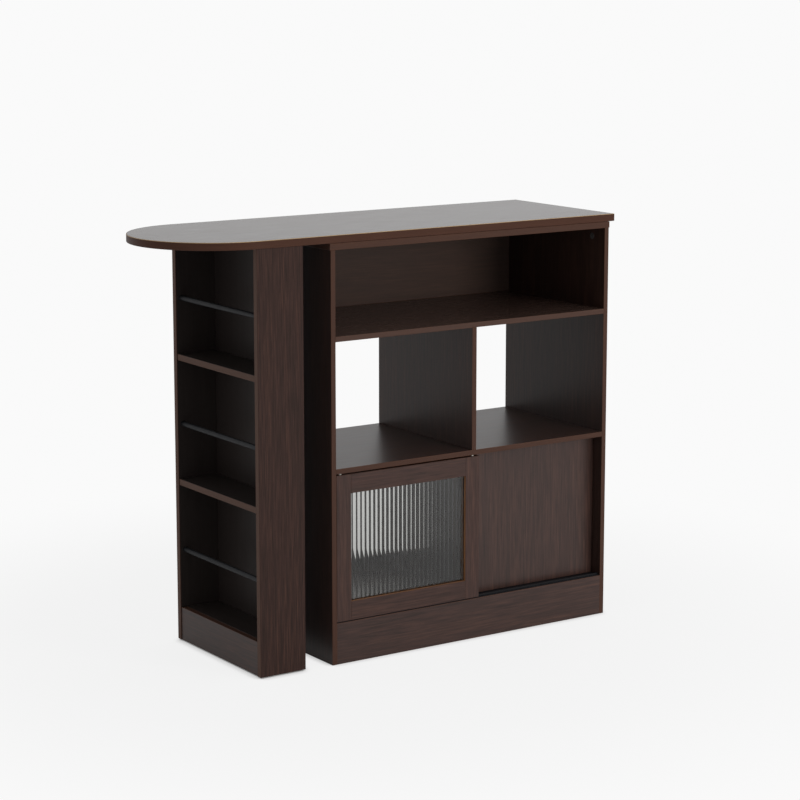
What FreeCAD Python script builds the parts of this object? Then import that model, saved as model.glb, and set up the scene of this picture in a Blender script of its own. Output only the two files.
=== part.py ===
import FreeCAD, Part
import math
import os
import re

import Sketcher

# Bar cabinet with a swivelling bar, in millimetres.
# The bar is 1200 long: its round end stands on a bottle rack, its square end turns on a pivot
# in the top of a cabinet with open bays and two sliding doors.
# +X is to the right, +Y to the back, +Z up. The origin is on the floor, under the bar's middle.

# Driving sizes: each is set once here, and every piece is worked out from them.
SIZES = {
    # Bar
    "bar_depth": 400.0,
    "bar_thick": 18.0,
    "bar_ease": 1.2,
    "total_height": 1000.0,
    "bar_overhang": 16.0,
    "round_overhang": 192.0,
    # Cabinet
    "cab_width": 800.0,
    "board": 15.0,
    "panel": 12.0,
    "board_ease": 0.6,
    "top_lap": 2.0,
    "plinth_height": 98.0,
    "back_lip": 40.0,
    "upper_room": 198.0,
    "bay_height": 294.0,
    "cam_dia": 16.0,
    "cam_skin": 2.5,
    "cam_proud": 0.8,
    "cam_inset": 50.0,
    "cam_drop": 24.0,
    # Sliding doors and their track
    "door_thick": 18.0,
    "door_inset": 1.0,
    "door_gap": 14.0,
    "door_overlap": 33.0,
    "door_side_gap": 1.0,
    "door_top_gap": 4.0,
    "door_run_gap": 1.0,
    "divider_gap": 6.0,
    "stile_width": 40.0,
    "rail_width": 45.0,
    "track_base": 1.5,
    "track_margin": 2.0,
    "rib_width": 3.0,
    "rib_height": 4.0,
    "runner_length": 60.0,
    "runner_width": 9.0,
    "runner_height": 9.0,
    "runner_inset": 70.0,
    "runner_play": 0.3,
    "guide_dia": 6.0,
    "guide_seat": 20.0,
    "guide_inset": 15.0,
    "guide_engage": 5.0,
    "guide_play": 0.5,
    "groove_headroom": 2.0,
    # Fluted glass
    "glass_thick": 5.0,
    "glass_bite": 8.0,
    "glass_gap": 1.0,
    "bead_thick": 6.0,
    "flute_pitch": 12.0,
    "flute_land": 0.5,
    "flute_depth": 1.4,
    # Bottle rack under the round end
    "rack_depth": 120.0,
    "rack_gap": 72.0,
    "rack_inset": 2.0,
    "rack_back_inset": 11.0,
    "rack_set_back": 2.0,
    "rack_lift": 3.0,
    "rack_plinth_level": 83.0,
    "base_tier_room": 299.0,
    "rod_dia": 12.0,
    "rod_inset": 14.0,
    "rod_height": 132.0,
    "base_rod_height": 141.0,
    "rod_seat": 8.0,
    # Pivot of the bar
    "pivot_inset": 200.0,
    "plate_dia": 120.0,
    "plate_thick": 4.0,
    "pin_dia": 20.0,
    "pin_tip": 2.0,
    "bush_wall": 4.0,
    "bush_flange_dia": 70.0,
    "glide_gap": 0.6,
    "washer_dia": 50.0,
    "washer_thick": 2.0,
    "nut_flats": 30.0,
    "nut_height": 12.0,
    # Rollers under the rack
    "roller_dia": 50.0,
    "roller_width": 18.0,
    "roller_inset": 49.0,
    "roller_side_gap": 1.0,
    "axle_dia": 8.0,
    "bracket_sheet": 2.5,
    "bracket_width": 32.0,
    # Clearances
    "seat_gap": 0.05,
    "run_gap": 0.05,
    "recess_gap": 0.5,
}

# Places that follow from the sizes
PLACES = {
    "bar_length": "bar_overhang + cab_width + rack_gap + rack_depth + round_overhang",
    "cab_right": "bar_length / 2 - bar_overhang",
    "cab_left": "cab_right - cab_width",
    "cab_depth": "bar_depth",
    "front": "-cab_depth / 2",
    "inner_left": "cab_left + panel",
    "inner_width": "cab_width - 2 * panel",
    "middle": "cab_left + cab_width / 2",
    "bar_under": "total_height - bar_thick",
    "cab_top_face": "bar_under - glide_gap",
    "cab_top_under": "cab_top_face - board",
    "cam_depth": "panel - cam_skin",
    "cam_level": "cab_top_under - cam_drop",
    "shelf_level": "cab_top_under - upper_room",
    "shelf_under": "shelf_level - panel",
    "deck_level": "shelf_under - bay_height",
    "deck_under": "deck_level - panel",
    "floor_under": "plinth_height - panel",
    "door_width": "(inner_width - 2 * door_side_gap + door_overlap) / 2",
    "door_bottom": "plinth_height + track_base + door_run_gap",
    "door_height": "deck_under - door_top_gap - door_bottom",
    "front_door_x": "inner_left + door_side_gap",
    "rear_door_x": "inner_left + inner_width - door_side_gap - door_width",
    "front_door_y": "front + door_inset",
    "rear_door_y": "front_door_y + door_thick + door_gap",
    "divider_front": "rear_door_y + door_thick + divider_gap",
    "rebate": "glass_thick + bead_thick",
    "lip": "door_thick - rebate",
    "opening_width": "door_width - 2 * stile_width",
    "opening_height": "door_height - 2 * rail_width",
    "pane_width": "opening_width + 2 * glass_bite - 2 * glass_gap",
    "pane_height": "opening_height + 2 * glass_bite - 2 * glass_gap",
    "flute_count": "floor(pane_width / flute_pitch)",
    "flute_chord": "flute_pitch - flute_land",
    "flute_start": "(pane_width - (flute_count - 1) * flute_pitch - flute_chord) / 2",
    "flute_radius": "(flute_chord * flute_chord / 4 + flute_depth * flute_depth) / (2 * flute_depth)",
    "guide_groove_width": "guide_dia + 2 * guide_play",
    "guide_groove_depth": "guide_engage + groove_headroom",
    "track_width": "2 * door_thick + door_gap - 2 * track_margin",
    "rack_right": "cab_left - rack_gap",
    "rack_left": "rack_right - rack_depth",
    "rack_front": "rack_inset - bar_depth / 2",
    "rack_width": "bar_depth - rack_inset - rack_back_inset",
    "rack_inner": "rack_width - 2 * board",
    "rack_height": "bar_under - rack_lift",
    "rack_face": "rack_left + rack_set_back",
    "rack_room": "rack_depth - rack_set_back - board",
    "rack_lower_level": "rack_plinth_level + base_tier_room + board",
    "tier_room": "(bar_under - rack_lower_level - board) / 2",
    "rack_upper_level": "rack_lower_level + tier_room + board",
    "rod_x": "rack_left + rod_inset",
    "pivot_x": "cab_right - pivot_inset",
    "pin_length": "glide_gap + board + washer_thick + nut_height + pin_tip",
    "bush_dia": "pin_dia + 2 * run_gap + 2 * bush_wall",
    "roller_x": "rack_face + board + (rack_room - board) / 2",
    "roller_spread": "rack_inner / 2 - roller_inset",
    "roller_turn": "atan(roller_spread / (pivot_x - roller_x))",
    "fork_room": "roller_width + 2 * roller_side_gap",
    "bracket_top": "rack_plinth_level - board - roller_dia / 2",
}

doc = FreeCAD.newDocument("bar_cabinet")
sheet = doc.addObject("Spreadsheet::Sheet", "Sizes")
for row, (size_name, size) in enumerate(SIZES.items(), start=1):
    sheet.set(f"A{row}", size_name.replace("_", " "))
    sheet.set(f"B{row}", str(size))
    sheet.setAlias(f"B{row}", size_name)
doc.recompute()

ORIGIN = ("0", "0", "0")
nodes = []


def spelled(text):
    """Spell a formula out: places open up into sizes, and sizes are read from the sheet."""
    def spell(match):
        word = match.group()
        if word in PLACES:
            return "(" + spelled(PLACES[word]) + ")"
        return "Sizes." + word if word in SIZES else word
    return re.sub(r"[a-z_]+", spell, text)


def bind(thing, prop, formula):
    thing.setExpression(prop, spelled(formula))


def bind_place(thing, prop, at):
    for axis, formula in zip("xyz", at):
        bind(thing, f"{prop}.Base.{axis}", formula)


def node(thing, label):
    """Name a finished piece, so that it is written out under that label."""
    thing.Label = label
    nodes.append(thing)
    return thing


def new_body(label, at):
    body = doc.addObject("PartDesign::Body", label)
    bind_place(body, "Placement", at)
    return node(body, label)


def new_sketch(body, name, role, at=ORIGIN):
    """A sketch on one of the body's own planes, moved in that plane's own directions."""
    sketch = body.newObject("Sketcher::SketchObject", f"{body.Name}_{name}")
    plane = next(item for item in body.Origin.OriginFeatures if item.Role == role)
    sketch.AttachmentSupport = [(plane, "")]
    sketch.MapMode = "FlatFace"
    bind_place(sketch, "AttachmentOffset", at)
    return sketch


def constrain(sketch, name, formula, kind, *places):
    """A named dimension of a sketch, bound to a formula."""
    index = sketch.addConstraint(Sketcher.Constraint(kind, *places))
    sketch.renameConstraint(index, name)
    bind(sketch, f"Constraints.{name}", formula)


def chain(sketch, corners):
    """Lines from corner to corner, closed, each pair of ends made one point."""
    first = sketch.GeometryCount
    count = len(corners)
    for start, end in zip(corners, corners[1:] + corners[:1]):
        sketch.addGeometry(Part.LineSegment(FreeCAD.Vector(*start), FreeCAD.Vector(*end)))
    for step in range(count):
        here = first + step
        after = first + (step + 1) % count
        sketch.addConstraint(Sketcher.Constraint("Coincident", here, 2, after, 1))
    return first


def rectangle(sketch, width, height):
    """A rectangle whose lower left corner is the sketch's own origin."""
    line = chain(sketch, [(0, 0), (10, 0), (10, 10), (0, 10)])
    sketch.addConstraint(Sketcher.Constraint("Coincident", line, 1, -1, 1))
    for step, kind in enumerate(("Horizontal", "Vertical", "Horizontal", "Vertical")):
        sketch.addConstraint(Sketcher.Constraint(kind, line + step))
    constrain(sketch, "width", width, "DistanceX", line, 1, line, 2, 10)
    constrain(sketch, "height", height, "DistanceY", line + 1, 1, line + 1, 2, 10)
    return sketch


def circles(sketch, *diameters):
    """Circles about the sketch's own origin: one is a disc, two are a ring."""
    for step, diameter in enumerate(diameters):
        radius = 10.0 / (step + 1)
        circle = sketch.addGeometry(Part.Circle(FreeCAD.Vector(), FreeCAD.Vector(0, 0, 1), radius))
        sketch.addConstraint(Sketcher.Constraint("Coincident", circle, 3, -1, 1))
        constrain(sketch, f"diameter_{step}", diameter, "Diameter", circle, 2 * radius)
    return sketch


def feature(body, kind, name, sketch, length, flip=False):
    """A Pad or Pocket of a sketch. A Pad leaves along the sketch's normal, a Pocket against it."""
    made = body.newObject(f"PartDesign::{kind}", f"{body.Name}_{name}")
    made.Profile = sketch
    made.Reversed = flip
    bind(made, "Length", length)
    return made


def ease_edges(body, base, size):
    """Take the sharpness off every edge of a feature."""
    easing = body.newObject("PartDesign::Chamfer", f"{body.Name}_easing")
    easing.Base = (base, [])
    easing.UseAllEdges = True
    bind(easing, "Size", size)
    return easing


def board_body(label, size, at):
    """A board with its edges eased, from its lower front left corner."""
    body = new_body(label, at)
    outline = rectangle(new_sketch(body, "outline", "XY_Plane"), size[0], size[1])
    ease_edges(body, feature(body, "Pad", "board", outline, size[2]), "board_ease")
    return body


def cut_box(body, name, role, at, size, depth, flip):
    sketch = rectangle(new_sketch(body, name + "_outline", role, at), *size)
    return feature(body, "Pocket", name, sketch, depth, flip)


def cut_hole(body, name, role, at, diameter, depth, flip):
    sketch = circles(new_sketch(body, name + "_outline", role, at), diameter)
    return feature(body, "Pocket", name, sketch, depth, flip)


def part(kind, name, at, **sizes):
    """A primitive whose sizes and place are formulas."""
    made = doc.addObject(f"Part::{kind}", name)
    for prop, formula in sizes.items():
        bind(made, prop, formula)
    bind_place(made, "Placement", at)
    return made


def combine(kind, name, base, tool):
    made = doc.addObject(f"Part::{kind}", name)
    made.Base = base
    made.Tool = tool
    return made


def group(label, things):
    made = doc.addObject("Part::Compound", label)
    made.Links = things
    return node(made, label)


def bar_top():
    """The bar: a long board with one end a full half circle, recessed below for the pivot plate."""
    body = new_body("bar_top", ("bar_depth / 2 - bar_length / 2", "0", "bar_under"))
    sketch = new_sketch(body, "outline", "XY_Plane")
    circle = Part.Circle(FreeCAD.Vector(), FreeCAD.Vector(0, 0, 1), 10)
    arc = sketch.addGeometry(Part.ArcOfCircle(circle, math.pi / 2, 3 * math.pi / 2))
    corners = [(0, -10), (30, -10), (30, 10), (0, 10)]
    lines = []
    for start, end in zip(corners, corners[1:]):
        line = Part.LineSegment(FreeCAD.Vector(*start), FreeCAD.Vector(*end))
        lines.append(sketch.addGeometry(line))
    front_edge, end_edge, back_edge = lines
    sketch.addConstraint(Sketcher.Constraint("Coincident", arc, 3, -1, 1))
    sketch.addConstraint(Sketcher.Constraint("Tangent", arc, 2, front_edge, 1))
    sketch.addConstraint(Sketcher.Constraint("Coincident", front_edge, 2, end_edge, 1))
    sketch.addConstraint(Sketcher.Constraint("Coincident", end_edge, 2, back_edge, 1))
    sketch.addConstraint(Sketcher.Constraint("Tangent", back_edge, 2, arc, 1))
    sketch.addConstraint(Sketcher.Constraint("Horizontal", front_edge))
    sketch.addConstraint(Sketcher.Constraint("Vertical", end_edge))
    sketch.addConstraint(Sketcher.Constraint("Horizontal", back_edge))
    constrain(sketch, "end_radius", "bar_depth / 2", "Radius", arc, 10)
    constrain(sketch, "straight", "bar_length - bar_depth / 2", "DistanceX", front_edge, 1, front_edge, 2, 30)
    ease_edges(body, feature(body, "Pad", "board", sketch, "bar_thick"), "bar_ease")
    recess_at = ("pivot_x + bar_length / 2 - bar_depth / 2", "0", "0")
    cut_hole(body, "plate_recess", "XY_Plane", recess_at, "plate_dia + 2 * recess_gap", "plate_thick", True)


def pivot():
    """The pivot: a plate with a pin under the bar, a flanged bush in the cabinet top, a washer and a nut."""
    plate = new_body("pivot_plate", ("pivot_x", "0", "bar_under"))
    disc = circles(new_sketch(plate, "disc", "XY_Plane"), "plate_dia")
    feature(plate, "Pad", "disc_pad", disc, "plate_thick")
    pin = circles(new_sketch(plate, "pin", "XY_Plane"), "pin_dia")
    feature(plate, "Pad", "pin_pad", pin, "pin_length", True)

    bush = new_body("pivot_bush", ("pivot_x", "0", "cab_top_face"))
    bore = "pin_dia + 2 * run_gap"
    flange = circles(new_sketch(bush, "flange", "XY_Plane"), "bush_flange_dia", bore)
    feature(bush, "Pad", "flange_pad", flange, "glide_gap")
    sleeve = circles(new_sketch(bush, "sleeve", "XY_Plane"), "bush_dia", bore)
    feature(bush, "Pad", "sleeve_pad", sleeve, "board", True)

    washer = new_body("pivot_washer", ("pivot_x", "0", "cab_top_under"))
    ring = circles(new_sketch(washer, "ring", "XY_Plane"), "washer_dia", "pin_dia + 2 * seat_gap")
    feature(washer, "Pad", "ring_pad", ring, "washer_thick", True)

    nut_at = ("pivot_x", "0", "cab_top_under - washer_thick - nut_height")
    hexagon = part("Prism", "nut_hexagon", nut_at, Circumradius="nut_flats / sqrt(3)", Height="nut_height")
    hexagon.Polygon = 6
    thread = part("Cylinder", "nut_thread", nut_at, Radius="pin_dia / 2 + seat_gap", Height="nut_height")
    node(combine("Cut", "pivot_nut", hexagon, thread), "pivot_nut")


def cabinet_boards():
    """The cabinet's boards: sides under a lapping top, two see-through bays, a plinth front and back."""
    lapped = ("cab_left - top_lap", "front", "cab_top_under")
    top = board_body("cabinet_top", ("cab_width + 2 * top_lap", "cab_depth", "board"), lapped)
    bore_at = ("pivot_x - cab_left + top_lap", "cab_depth / 2", "0")
    cut_hole(top, "bush_bore", "XY_Plane", bore_at, "bush_dia + 2 * seat_gap", "board", True)

    side_panels()

    across = ("inner_width", "cab_depth", "panel")
    board_body("upper_shelf", across, ("inner_left", "front", "shelf_under"))
    back_at = ("inner_left", "cab_depth / 2 - panel", "shelf_level")
    board_body("upper_back", ("inner_width", "panel", "cab_top_under - shelf_level"), back_at)
    divider = ("panel", "cab_depth", "shelf_under - deck_level")
    board_body("bay_divider", divider, ("middle - panel / 2", "front", "deck_level"))

    deck = board_body("deck", across, ("inner_left", "front", "deck_under"))
    for name, door_y in (("front_groove", "front_door_y"), ("rear_groove", "rear_door_y")):
        groove_at = ("0", f"{door_y} + door_thick / 2 - guide_groove_width / 2 - front", "0")
        groove_size = ("inner_width", "guide_groove_width")
        cut_box(deck, name, "XY_Plane", groove_at, groove_size, "guide_groove_depth", True)

    board_body("plinth_front", ("inner_width", "panel", "plinth_height"), ("inner_left", "front", "0"))
    floor_size = ("inner_width", "cab_depth - 2 * panel", "panel")
    board_body("cabinet_floor", floor_size, ("inner_left", "front + panel", "floor_under"))
    rail_size = ("inner_width", "panel", "plinth_height + back_lip")
    board_body("plinth_back", rail_size, ("inner_left", "cab_depth / 2 - panel", "0"))
    lower_size = ("panel", "cab_depth / 2 - panel - divider_front", "deck_under - plinth_height")
    board_body("lower_divider", lower_size, ("middle - panel / 2", "divider_front", "plinth_height"))


def side_panels():
    """The two sides, each with two cam locks in its inner face that draw the top down."""
    upright = ("panel", "cab_depth", "cab_top_under")
    locks = []
    sides = (("left", "cab_left", "panel", False), ("right", "cab_right - panel", "0", True))
    bore = "cam_dia + 2 * seat_gap"
    for side, panel_x, face, flip in sides:
        panel = board_body(f"side_panel_{side}", upright, (panel_x, "front", "0"))
        foot = f"{panel_x} + {face} - " + ("cam_proud" if flip else "cam_depth")
        for place, inset in (("front", "cam_inset"), ("back", "cab_depth - cam_inset")):
            bore_at = (inset, "cam_level", face)
            cut_hole(panel, f"cam_bore_{place}", "YZ_Plane", bore_at, bore, "cam_depth", flip)
            lock = part("Cylinder", f"cam_lock_{side}_{place}", (foot, f"front + {inset}", "cam_level"),
                        Radius="cam_dia / 2", Height="cam_depth + cam_proud")
            lock.Placement.Rotation = FreeCAD.Rotation(FreeCAD.Vector(0, 1, 0), 90)
            locks.append(lock)
    group("cam_locks", locks)


def door_track():
    """The bottom track: a thin strip with one standing rib for each door."""
    track = new_body("door_track", ("inner_left", "front_door_y + track_margin", "plinth_height"))
    strip = rectangle(new_sketch(track, "strip", "XY_Plane"), "inner_width", "track_width")
    feature(track, "Pad", "strip_pad", strip, "track_base")
    for name, shift in (("front_rib", "0"), ("rear_rib", "door_thick + door_gap")):
        rib_at = ("0", f"door_thick / 2 - rib_width / 2 - track_margin + {shift}", "track_base")
        rib = rectangle(new_sketch(track, name, "XY_Plane", rib_at), "inner_width", "rib_width")
        feature(track, "Pad", name + "_pad", rib, "rib_height")


def runner_groove(body, width):
    """The groove along a door's bottom edge, which clears the rib and holds the runners."""
    groove_at = ("0", "door_thick / 2 - runner_width / 2", "0")
    cut_box(body, "runner_groove", "XY_Plane", groove_at, (width, "runner_width"), "runner_height", True)


def guide_bore(body, name, x):
    bore_at = (x, "door_thick / 2", "door_height")
    cut_hole(body, name, "XY_Plane", bore_at, "guide_dia + 2 * seat_gap", "guide_seat", False)


def door_fittings(prefix, door_x, door_y):
    """Two guides in a door's top edge, and two runners in the groove of its bottom edge."""
    guides = []
    runners = []
    middle_y = f"{door_y} + door_thick / 2"
    guide_foot = "door_bottom + door_height - guide_seat"
    runner_y = f"{middle_y} - runner_width / 2 + seat_gap"
    slot_y = f"{middle_y} - rib_width / 2 - runner_play"
    pairs = (("left", "guide_inset", "runner_inset"),
             ("right", "door_width - guide_inset", "door_width - runner_inset - runner_length"))
    for side, guide_x, runner_x in pairs:
        guide_at = (f"{door_x} + {guide_x}", middle_y, guide_foot)
        guides.append(part("Cylinder", f"{prefix}_{side}_guide", guide_at, Radius="guide_dia / 2",
                           Height="guide_seat + door_top_gap + guide_engage"))
        block = part("Box", f"{prefix}_{side}_block", (f"{door_x} + {runner_x}", runner_y, "door_bottom"),
                     Length="runner_length", Width="runner_width - 2 * seat_gap", Height="runner_height")
        slot = part("Box", f"{prefix}_{side}_slot", (f"{door_x} + {runner_x}", slot_y, "door_bottom"),
                    Length="runner_length", Width="rib_width + 2 * runner_play",
                    Height="rib_height - door_run_gap")
        runners.append(combine("Cut", f"{prefix}_{side}_runner", block, slot))
    group(f"{prefix}_guides", guides)
    group(f"{prefix}_runners", runners)


def glazed_door():
    """The front door: two stiles, two rails, a fluted pane in their rebate and the beads behind it."""
    stile_size = ("stile_width", "door_thick", "door_height")
    rebate_foot = "rail_width - glass_bite"
    rebate_size = ("glass_bite", "opening_height + 2 * glass_bite")
    for side, shift, rebate_x, guide_x in (
            ("left", "0", "stile_width - glass_bite", "guide_inset"),
            ("right", "door_width - stile_width", "0", "stile_width - guide_inset")):
        at = (f"front_door_x + {shift}", "front_door_y", "door_bottom")
        stile = board_body(f"door_stile_{side}", stile_size, at)
        rebate_at = (rebate_x, rebate_foot, "-door_thick")
        cut_box(stile, "rebate", "XZ_Plane", rebate_at, rebate_size, "rebate", True)
        runner_groove(stile, "stile_width")
        guide_bore(stile, "guide_bore", guide_x)

    rail_size = ("opening_width", "door_thick", "rail_width")
    for side, shift, rebate_z in (("bottom", "0", "rail_width - glass_bite"),
                                  ("top", "door_height - rail_width", "0")):
        at = ("front_door_x + stile_width", "front_door_y", f"door_bottom + {shift}")
        rail = board_body(f"door_rail_{side}", rail_size, at)
        rebate_at = ("0", rebate_z, "-door_thick")
        cut_box(rail, "rebate", "XZ_Plane", rebate_at, ("opening_width", "glass_bite"), "rebate", True)
        if side == "bottom":
            runner_groove(rail, "opening_width")

    fluted_glass()
    glazing_beads()
    door_fittings("front_door", "front_door_x", "front_door_y")


def fluted_glass():
    """The pane: a flat sheet with upright flutes on its front face, each a shallow arc on its chord."""
    pane_at = ("front_door_x + stile_width - glass_bite + glass_gap", "front_door_y + lip + flute_depth",
               "door_bottom + rail_width - glass_bite + glass_gap")
    pane = new_body("fluted_glass", pane_at)
    flat = rectangle(new_sketch(pane, "flat", "XY_Plane"), "pane_width", "glass_thick - flute_depth")
    feature(pane, "Pad", "flat_pad", flat, "pane_height")

    sketch = new_sketch(pane, "flute", "XY_Plane", ("flute_start", "0", "0"))
    chord = sketch.addGeometry(Part.LineSegment(FreeCAD.Vector(0, 0), FreeCAD.Vector(10, 0)))
    circle = Part.Circle(FreeCAD.Vector(5, 6, 0), FreeCAD.Vector(0, 0, 1), math.hypot(5, 6))
    half = math.atan2(5, 6)
    arc = sketch.addGeometry(Part.ArcOfCircle(circle, 1.5 * math.pi - half, 1.5 * math.pi + half))
    sketch.addConstraint(Sketcher.Constraint("Coincident", chord, 1, -1, 1))
    sketch.addConstraint(Sketcher.Constraint("Horizontal", chord))
    sketch.addConstraint(Sketcher.Constraint("Coincident", arc, 1, chord, 1))
    sketch.addConstraint(Sketcher.Constraint("Coincident", arc, 2, chord, 2))
    constrain(sketch, "chord", "flute_chord", "DistanceX", chord, 1, chord, 2, 10)
    constrain(sketch, "radius", "flute_radius", "Radius", arc, math.hypot(5, 6))
    flute = feature(pane, "Pad", "flute_pad", sketch, "pane_height")
    flutes = pane.newObject("PartDesign::LinearPattern", "fluted_glass_flutes")
    flutes.Originals = [flute]
    flutes.Direction = (sketch, ["H_Axis"])
    bind(flutes, "Length", "(flute_count - 1) * flute_pitch")
    bind(flutes, "Occurrences", "flute_count")
    pane.Tip = flutes


def glazing_beads():
    """Four square beads that hold the pane from behind, the upright ones between the level ones."""
    left = "front_door_x + stile_width - glass_bite"
    low = "door_bottom + rail_width - glass_bite"
    bead_y = "front_door_y + lip + glass_thick"
    span_x = "opening_width + 2 * glass_bite"
    span_z = "opening_height + 2 * glass_bite"
    beads = []
    for name, shift in (("low", "0"), ("high", "opening_height + glass_bite")):
        at = (left, bead_y, f"{low} + {shift}")
        beads.append(part("Box", f"bead_{name}", at, Length=span_x, Width="bead_thick", Height="glass_bite"))
    for name, shift in (("left", "0"), ("right", "opening_width + glass_bite")):
        at = (f"{left} + {shift}", bead_y, f"{low} + glass_bite")
        beads.append(part("Box", f"bead_{name}", at, Length="glass_bite", Width="bead_thick",
                          Height=f"{span_z} - 2 * glass_bite"))
    group("glazing_beads", beads)


def plain_door():
    """The rear door: one board with the same groove, guides and runners."""
    at = ("rear_door_x", "rear_door_y", "door_bottom")
    door = board_body("rear_door_panel", ("door_width", "door_thick", "door_height"), at)
    runner_groove(door, "door_width")
    guide_bore(door, "guide_bore_left", "guide_inset")
    guide_bore(door, "guide_bore_right", "door_width - guide_inset")
    door_fittings("rear_door", "rear_door_x", "rear_door_y")


def bottle_rack():
    """The rack under the round end, open to the left, with a rod across each of its three tiers."""
    tiers = (("upper", "rack_upper_level + rod_height"), ("middle", "rack_lower_level + rod_height"),
             ("lower", "rack_plinth_level + base_rod_height"))
    side_size = ("rack_depth", "board", "rack_height")
    for label, side_y, seat_y, flip in (
            ("rack_side_front", "rack_front", "board", True),
            ("rack_side_back", "rack_front + rack_width - board", "0", False)):
        side = board_body(label, side_size, ("rack_left", side_y, "rack_lift"))
        for tier, level in tiers:
            seat_at = ("rod_inset", f"{level} - rack_lift", f"-({seat_y})")
            bore = "rod_dia + 2 * seat_gap"
            cut_hole(side, f"rod_seat_{tier}", "XZ_Plane", seat_at, bore, "rod_seat", flip)
    for tier, level in tiers:
        at = ("rod_x", "rack_front + board - rod_seat", level)
        rod = part("Cylinder", f"bottle_rod_{tier}", at, Radius="rod_dia / 2",
                   Height="rack_inner + 2 * rod_seat")
        rod.Placement.Rotation = FreeCAD.Rotation(FreeCAD.Vector(1, 0, 0), -90)
        node(rod, f"bottle_rod_{tier}")

    inner_y = "rack_front + board"
    back_at = ("rack_right - board", inner_y, "rack_lift")
    board_body("rack_back", ("board", "rack_inner", "rack_height"), back_at)
    for label, level in (("rack_shelf_upper", "rack_upper_level"), ("rack_shelf_lower", "rack_lower_level")):
        board_body(label, ("rack_room", "rack_inner", "board"), ("rack_face", inner_y, f"{level} - board"))
    plinth_size = ("board", "rack_inner", "rack_plinth_level - rack_lift")
    board_body("rack_plinth", plinth_size, ("rack_face", inner_y, "rack_lift"))
    base_at = ("rack_face + board", inner_y, "rack_plinth_level - board")
    board_body("rack_base", ("rack_room - board", "rack_inner", "board"), base_at)


def turned_body(label, at, turn):
    """A body turned about the vertical, so that its own X points at the pivot."""
    body = new_body(label, at)
    body.Placement.Rotation = FreeCAD.Rotation(FreeCAD.Vector(0, 0, 1), 1)
    bind(body, "Placement.Rotation.Angle", turn)
    return body


def roller(side, sign):
    """One roller under the rack: a fork, an axle that points at the pivot, and a wheel."""
    at = ("roller_x", f"{sign} roller_spread", "roller_dia / 2")
    turn = "roller_turn" if sign == "-" else "360 deg - roller_turn"

    fork = turned_body(f"roller_fork_{side}", at, turn)
    plate_at = ("-fork_room / 2 - bracket_sheet", "-bracket_width / 2", "bracket_top - bracket_sheet")
    plate = rectangle(new_sketch(fork, "plate", "XY_Plane", plate_at),
                      "fork_room + 2 * bracket_sheet", "bracket_width")
    feature(fork, "Pad", "plate_pad", plate, "bracket_sheet")
    for cheek_name, shift, flip in (("left", "-fork_room / 2", True), ("right", "fork_room / 2", False)):
        sketch = new_sketch(fork, f"cheek_{cheek_name}", "YZ_Plane", ("0", "0", shift))
        cheek_outline(sketch)
        feature(fork, "Pad", f"cheek_{cheek_name}_pad", sketch, "bracket_sheet", flip)

    axle = turned_body(f"roller_axle_{side}", at, turn)
    shaft_length = "fork_room + 2 * bracket_sheet"
    shaft = circles(new_sketch(axle, "shaft", "YZ_Plane", ("0", "0", f"-({shaft_length}) / 2")), "axle_dia")
    feature(axle, "Pad", "shaft_pad", shaft, shaft_length)

    wheel = turned_body(f"roller_wheel_{side}", at, turn)
    tyre = circles(new_sketch(wheel, "tyre", "YZ_Plane", ("0", "0", "-roller_width / 2")), "roller_dia")
    feature(wheel, "Pad", "tyre_pad", tyre, "roller_width")
    bore_at = ("0", "0", "roller_width / 2")
    cut_hole(wheel, "bore", "YZ_Plane", bore_at, "axle_dia + 2 * run_gap", "roller_width", False)


def cheek_outline(sketch):
    """One cheek of a fork: straight sides down to a half circle about the axle, with the axle's hole."""
    corners = [(-10, 0), (-10, 20), (10, 20), (10, 0)]
    lines = []
    for start, end in zip(corners, corners[1:]):
        line = Part.LineSegment(FreeCAD.Vector(*start), FreeCAD.Vector(*end))
        lines.append(sketch.addGeometry(line))
    left, top, right = lines
    circle = Part.Circle(FreeCAD.Vector(), FreeCAD.Vector(0, 0, 1), 10)
    arc = sketch.addGeometry(Part.ArcOfCircle(circle, math.pi, 2 * math.pi))
    sketch.addConstraint(Sketcher.Constraint("Coincident", arc, 3, -1, 1))
    sketch.addConstraint(Sketcher.Constraint("Tangent", arc, 1, left, 1))
    sketch.addConstraint(Sketcher.Constraint("Coincident", left, 2, top, 1))
    sketch.addConstraint(Sketcher.Constraint("Coincident", top, 2, right, 1))
    sketch.addConstraint(Sketcher.Constraint("Tangent", right, 2, arc, 2))
    sketch.addConstraint(Sketcher.Constraint("Vertical", left))
    sketch.addConstraint(Sketcher.Constraint("Horizontal", top))
    sketch.addConstraint(Sketcher.Constraint("Vertical", right))
    constrain(sketch, "cheek_radius", "bracket_width / 2", "Radius", arc, 10)
    constrain(sketch, "reach", "bracket_top - bracket_sheet", "DistanceY", left, 1, left, 2, 20)
    hole = sketch.addGeometry(Part.Circle(FreeCAD.Vector(), FreeCAD.Vector(0, 0, 1), 4))
    sketch.addConstraint(Sketcher.Constraint("Coincident", hole, 3, -1, 1))
    constrain(sketch, "axle_hole", "axle_dia + 2 * seat_gap", "Diameter", hole, 8)


def write_parts():
    """Stop if anything failed, then write every piece under its own name."""
    for thing in doc.Objects:
        if "Invalid" in thing.State or "Error" in thing.State:
            raise RuntimeError(f"{thing.Label} failed: {thing.State}")
    for thing in nodes:
        if thing.Shape.isNull() or not thing.Shape.isValid():
            raise RuntimeError(f"{thing.Label} has no valid shape")
    os.makedirs("parts", exist_ok=True)
    for thing in nodes:
        thing.Shape.exportStep(f"parts/{thing.Label}.step")


bar_top()
pivot()
cabinet_boards()
door_track()
glazed_door()
plain_door()
bottle_rack()
roller("front", "-")
roller("back", "")
doc.recompute()
write_parts()
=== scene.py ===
import math

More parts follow.
